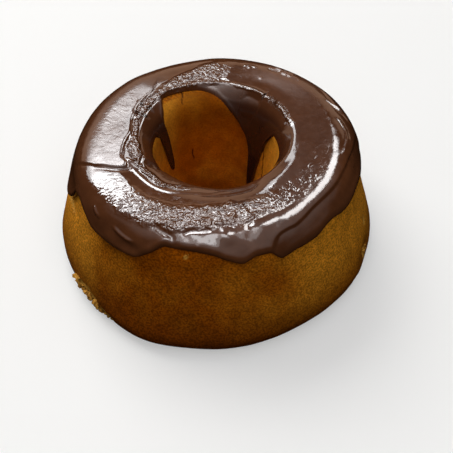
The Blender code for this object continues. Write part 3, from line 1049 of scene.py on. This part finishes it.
    def lift(self, run: Array, gaps: tuple[Array, Array], depth: Array, relief: Array) -> Array:
        """How far the top stands off the crust, rounded down to the crust at both edges.

        Args:
            run: In millimetres.
            gaps: The ways back from the outer edge and from the hole's, in millimetres.
            depth: The even thickness there, in millimetres.
            relief: How far the icing stands above that, in millimetres.

        Returns:
            The lifts, in millimetres.
        """
        outer, inner = (np.sqrt(1 - (1 - np.clip(gap / self.edge_round, 0, 1)) ** 2) for gap in gaps)
        beads = zip(gaps, self.beads)
        bead = sum(height * bell(gap - back, width) for gap, (height, back, width) in beads)
        deepest = self.deepest + self.deeper_in_hole * smooth_step(-9, -12, run)
        body = depth + np.maximum(relief, deepest) * outer + bead
        return self.edge_sink + outer * inner * (body - self.edge_sink)

    def finish_masks(self, azimuth: Array, run: Array) -> dict[Mask, Array]:
        """Where the icing is painted darker in the hole, as painted shade, and where it is dull, at runs in
        millimetres.
        """
        in_front = window(azimuth, (200, 215), (310, 330))
        # The hole mask is the icing's painted shade down the hole, starting higher in front.
        hole = smooth_step(-13, -22, run + 5 * in_front)
        film = window(azimuth, (116, 130), (201, 205)) * window(run, (-5, -1), (16, 21))
        dull = np.maximum(bell(turn_between(azimuth, 80), 26) * smooth_step(-8.6, -11, run), 0.62 * film)
        back_right = 0.8 * bell(turn_between(azimuth, 52), 22) * smooth_step(-4, 3, run)
        return {Mask.HOLE: hole, Mask.DULL: np.maximum(dull, back_right)}

    def build(self, material: bpy.types.Material) -> bpy.types.Object:
        """Makes the icing.

        Args:
            material: Its finish.

        Returns:
            The finished object.
        """
        stations = self.top_stations + self.under_stations
        mesh, azimuth, station = Ring(stations, self.sides, "poured_icing").roll()
        azimuth = self.crowd(azimuth)
        outer = around(OUTER_RUNS, azimuth)
        inner = -around(INNER_RUNS, azimuth)
        run = self.runs(station, outer, inner)
        flat = self.crust.place(azimuth, run * MM, np.zeros_like(run))
        crinkle = self.crinkle(azimuth, run, 1.1 * grain(flat, 6, 4.2))
        relief = self.relief(azimuth, run, flat, crinkle)
        lift = self.lift(run, (outer - run, run - inner), self.thickness(azimuth, run), relief)
        lift = np.where(station >= self.top_stations, self.under_sink, lift)
        lean = self.drip_lean * bell(turn_between(azimuth, self.drip_azimuth), self.drip_reach)
        azimuth = azimuth + lean * smooth_step(20, 64, -run)
        points = self.crust.place(azimuth, run * MM, lift * MM)
        settle(mesh, points, {Mask.CRINKLE: crinkle, **self.finish_masks(azimuth, run)})
        return show("poured_icing", mesh, material)


@dataclass
class Sponge:
    """The baked ring: its wall, foot and hole, with pores, crags and torn places."""

    crust: CrustLine
    sides: int = 600
    outer_step: float = 0.95
    inner_step: float = 1.7
    hidden_sink: float = -0.45
    crown_runs: tuple[float, float] = (15, -6)
    crown_stations: int = 8
    hole_start: float = -12
    mark_radius: float = 34
    mark_fade: float = 0.7
    mark_depth: float = 0.5
    tears: Rows = (
        # Azimuth, run, reach around in degrees and along, depth and roughness in millimetres.
        (257.9, 26.6, 0.9, 1.3, 0.2, 0.4),
        (218, 88, 8.0, 6.5, 0.5, 1.6),
        (228, 91, 6.0, 5.0, 0.4, 1.4),
        (340, 84, 2.6, 4.0, 0.4, 0.8),
        (330, 90, 3.0, 3.0, 0.3, 0.6),
        (194, 50, 6.0, 1.6, 0.3, 0.6),
        (345, 63, 1.5, 4.0, 0.3, 0.5),
    )
    marks: Rows = (
        # Cracks on the hole's wall, sunk a little and painted dark as painted shade: azimuth and depth down
        # the hole at both ends, and width.
        (115.0, 8.0, 119.5, 17.5, 0.32),
        (115.6, 53.5, 114.6, 62.5, 0.42),
        (34.0, 41.0, 30.0, 68.0, 0.4),
    )

    def runs(self) -> Array:
        """The closed cut's runs, from the outer foot over the crown and down the hole."""
        foot_in, foot_out = (value / MM for value in self.crust.ends())
        start, end = self.crown_runs
        outer = np.arange(foot_out, start, -self.outer_step)
        crown = np.linspace(start, end, self.crown_stations)[1:]
        inner = np.linspace(end, foot_in, round((end - foot_in) / self.inner_step))[1:]
        return np.concatenate((outer, crown, inner)) * MM

    def cracks(self, azimuth: Array, depth: Array) -> Array:
        """The cracks, from 0 to 1, at depths down the hole in millimetres; the finish paints them dark as
        painted shade.
        """
        mark = np.zeros_like(depth)
        for start, top, end, foot, width in self.marks:
            part = np.clip((depth - top) / (foot - top), 0, 1)
            beside = turn_between(azimuth, start + (end - start) * part + 0.5 * np.sin(depth * 0.9))
            across = bell(np.radians(beside) * self.mark_radius, width)
            fade = self.mark_fade
            along = window(depth, (top - fade, top + fade), (foot - fade, foot + fade))
            mark = np.maximum(mark, across * along)
        return mark

    def build(self, material: bpy.types.Material) -> bpy.types.Object:
        """Makes the sponge.

        Args:
            material: Its finish.

        Returns:
            The finished object.
        """
        runs = self.runs()
        mesh, azimuth, station = Ring(len(runs), self.sides, "sponge_ring").roll()
        run = runs[station]
        flat = self.crust.place(azimuth, run, np.zeros_like(run))
        height = flat[:, 2] / MM
        covered = smooth_step(0.0, 3.0, around(OUTER_RUNS, azimuth) - run / MM)
        covered = covered * smooth_step(0.0, 3.0, around(INNER_RUNS, azimuth) + run / MM)
        outside = smooth_step(0, 15 * MM, run)
        lift = 0.2 * grain(flat, 13, 2.2) + 0.05 * outside * grain(flat, 4, 4.4)
        torn = np.zeros_like(run)
        for middle, level, reach, rise, depth, rough in self.tears:
            there = bell(turn_between(azimuth, middle), reach) * bell(run / MM - level, rise)
            there = smooth_step(0.25, 0.7, there + 0.25 * grain(flat, 3.0, 8.8) * (there > 0.05))
            lift = lift + there * (rough * (grain(flat, 2.6, 9.9) + 0.6 * grain(flat, 1.3, 3.3)) - depth)
            torn = np.maximum(torn, there)
        mark = self.cracks(azimuth, -run / MM)
        lift = lift - self.mark_depth * mark + self.hidden_sink * covered
        stands = smooth_step(0.0, 2.5, height)
        points = self.crust.place(azimuth, run, lift * MM * stands)
        points[:, 2] = np.where(height < 0.05, 0.0, np.maximum(points[:, 2], 0.0))
        hole = (run < self.hole_start * MM).astype(float)
        settle(mesh, points, {Mask.TORN: torn, Mask.MARK: mark, Mask.HOLE: hole})
        return show("sponge_ring", mesh, material)


@dataclass
class Crumbs:
    """Loose crumbs that cling to the torn foot and lie under the notch."""

    crust: CrustLine
    seed: int = 11
    spread: float = 0.6
    lowest: float = 1.2
    raised: float = 0.35
    raggedness: float = 0.75
    paleness: float = 0.8
    heaps: Rows = (
        # Azimuth and spread, height and spread, count, smallest and largest size in millimetres.
        (219, 7.5, 8, 6.0, 60, 0.5, 1.8),
        (225, 6.0, 3, 3.0, 30, 0.4, 1.1),
        (340, 3.0, 16, 4.0, 9, 0.3, 0.7),
        (258, 0.7, 69.8, 0.7, 6, 0.25, 0.5),
        (193, 5.0, 46.5, 1.0, 9, 0.25, 0.6),
    )

    def build(self, material: bpy.types.Material) -> bpy.types.Object:
        """Makes the crumbs as one mesh.

        Args:
            material: Their finish.

        Returns:
            The finished object.
        """
        draw = np.random.default_rng(self.seed)
        foot_out = self.crust.ends()[1]
        path = np.linspace(0, foot_out, 400)
        heights = self.crust.point(path)[1]
        shape = bmesh.new()
        for azimuth, turn, level, rise, count, small, large in self.heaps:
            for _ in range(count):
                size = draw.uniform(small, large) * MM
                angle = azimuth + turn * draw.normal() * self.spread
                height = max(level + rise * draw.normal() * self.spread, self.lowest) * MM
                run = np.interp(-height, -heights, path)
                spot = self.crust.place(*(np.array([value]) for value in (angle, run, size * self.raised)))[0]
                spot[2] = max(spot[2], size * 0.9)
                made = bmesh.ops.create_icosphere(shape, subdivisions=2, radius=size)
                stretch = Vector((draw.uniform(0.7, 1.4), draw.uniform(0.7, 1.4), draw.uniform(0.45, 0.8)))
                phase = draw.uniform(0, 50)
                for vertex in made["verts"]:
                    lump = noise.noise(vertex.co / size * 1.1 + Vector((phase, 0, 0)))
                    vertex.co = vertex.co * stretch * (1 + self.raggedness * lump)
                turned = Matrix.Rotation(draw.uniform(0, 2 * math.pi), 4, "Z")
                bmesh.ops.transform(shape, matrix=Matrix.Translation(spot) @ turned, verts=made["verts"])
        mesh = bpy.data.meshes.new("loose_crumbs")
        shape.to_mesh(mesh)
        count = len(shape.verts)
        shape.free()
        layer = mesh.attributes.new(Mask.TORN.value, "FLOAT", "POINT")
        layer.data.foreach_set("value", np.full(count, self.paleness, np.float32))
        return show("loose_crumbs", mesh, material)


COOL: Colour = (0.96, 0.98, 1.0)
WARM: Colour = (1.0, 0.97, 0.92)
AMBER: Colour = (1.0, 0.66, 0.46)


@dataclass(frozen=True)
class Softbox:
    """A rectangular light that faces a target, with its long side along a given direction."""

    name: str
    place: tuple[float, ...]
    target: tuple[float, ...]
    upright: tuple[float, ...]
    width: float
    height: float
    radiance: float
    colour: Colour = (1.0, 1.0, 1.0)
    lights_surfaces: bool = False
    shows_in_gloss: bool = True

    def hang(self) -> None:
        """Adds the light to the scene."""
        lamp = bpy.data.lights.new(self.name, "AREA")
        lamp.shape = "RECTANGLE"
        lamp.size = self.width
        lamp.size_y = self.height
        lamp.energy = self.radiance * math.pi * self.width * self.height
        lamp.color = self.colour
        thing = bpy.data.objects.new(self.name, lamp)
        bpy.context.scene.collection.objects.link(thing)
        backwards = (Vector(self.place) - Vector(self.target)).normalized()
        sideways = Vector(self.upright).cross(backwards).normalized()
        axes = Matrix((sideways, backwards.cross(sideways), backwards)).transposed()
        thing.matrix_world = Matrix.Translation(self.place) @ axes.to_4x4()
        thing.visible_camera = False
        thing.visible_diffuse = self.lights_surfaces
        thing.visible_glossy = self.shows_in_gloss


@dataclass
class Studio:
    """The floor, the lights and the camera."""

    camera_distance: float = 0.493
    camera_elevation: float = 50.4
    focal_length: float = 59.6
    shift: tuple[float, float] = (0.0236, -0.0026)
    floor_reach: float = 4.0
    world_colour: Colour = COOL
    dome_strength: float = 0.9
    lights: tuple[Softbox, ...] = (
        Softbox("window_gloss", (-1.032, 1.0, 1.55), (-1.032, 0, 1.55), (0, 0, 1), 1.96, 0.80, 26.0, COOL),
        Softbox(
            "window_sill_gloss", (-1.032, 1.0, 0.98), (-1.032, 0, 0.98), (0, 0, 1), 1.96, 0.34, 9.6, COOL
        ),
        Softbox("top_gloss", (-0.06, -0.03, 1.2), (-0.06, -0.03, 0), (0, 1, 0), 0.40, 0.34, 7.5, COOL),
        Softbox("top_haze", (-0.10, -0.08, 1.21), (-0.10, -0.08, 0), (0, 1, 0), 0.8, 0.6, 2.4, COOL),
        Softbox("wall_haze", (-0.4, 1.2, 0.5), (-0.4, 0, 0.5), (0, 0, 1), 3.2, 0.6, 1.0, AMBER),
        Softbox("side_gloss", (0.29, 0.40, 0.763), (0, 0, 0.08), (0.128, 0.456, -0.286), 0.16, 0.5, 14.0),
        Softbox("side_haze", (0.292, 0.403, 0.767), (0, 0, 0.08), (0.128, 0.456, -0.286), 0.20, 0.60, 4.5),
        Softbox("window_fill", (-0.9, 1.2, 1.6), (0, 0, 0.04), (0, 0, 1), 1.8, 1.4, 4.2, WARM, True, False),
        Softbox("room_fill", (0.2, -1.5, 1.7), (0, 0, 0.04), (0, 0, 1), 2.6, 2.0, 0.8, WARM, True, False),
    )

    def lay_floor(self, effects: SharedEffects) -> None:
        """Adds the plain pale floor."""
        shape = bmesh.new()
        bmesh.ops.create_grid(shape, x_segments=8, y_segments=8, size=self.floor_reach)
        mesh = bpy.data.meshes.new("pale_floor")
        shape.to_mesh(mesh)
        shape.free()
        floor = show("pale_floor", mesh, FloorFinish().dress(effects))
        floor.visible_diffuse = False
        floor.visible_glossy = False

    def light(self) -> None:
        """Hangs the softboxes and sets the pale surroundings."""
        for softbox in self.lights:
            softbox.hang()
        world = bpy.data.worlds.new("pale_room")
        world.use_nodes = True
        wiring = Wiring(world.node_tree)
        sky = world.node_tree.nodes["Background"]
        sky.inputs["Color"].default_value = (*self.world_colour, 1)
        rise = wiring.add("SeparateXYZ", Vector=wiring.add("TexCoord").outputs["Generated"]).outputs["Z"]
        wiring.feed(sky.inputs["Strength"], wiring.spread(rise, 0.52, 1.0, 0.0, self.dome_strength))
        bpy.context.scene.world = world
        bpy.context.scene.view_settings.view_transform = "Standard"

    def aim_camera(self) -> None:
        """Puts the camera where the photograph was taken from."""
        lens = bpy.data.cameras.new("camera")
        lens.lens = self.focal_length
        lens.sensor_width = 36
        lens.shift_x, lens.shift_y = self.shift
        camera = bpy.data.objects.new("camera", lens)
        bpy.context.scene.collection.objects.link(camera)
        tilt = math.radians(self.camera_elevation)
        camera.location = (0, -self.camera_distance * math.cos(tilt), self.camera_distance * math.sin(tilt))
        camera.rotation_euler = (math.pi / 2 - tilt, 0, 0)
        bpy.context.scene.camera = camera


def main() -> None:
    """Builds the cake's looks, dresses them and sets the studio."""
    logging.basicConfig(level=logging.INFO, format="%(name)s: %(message)s")
    effects = SharedEffects()
    crust = CrustLine()
    crust_finish = CrustFinish().dress(effects)
    sponge = Sponge(crust).build(crust_finish)
    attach(sponge, "root")
    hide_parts(Node.CAKE.value)
    icing = IcingCoat(crust).build(IcingFinish().dress(effects))
    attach(icing, "root")
    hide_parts(Node.ICING.value)
    crumbs = Crumbs(crust).build(crust_finish)
    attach(crumbs, "root")
    studio = Studio()
    studio.lay_floor(effects)
    studio.light()
    studio.aim_camera()


if __name__ == "__main__":
    main()
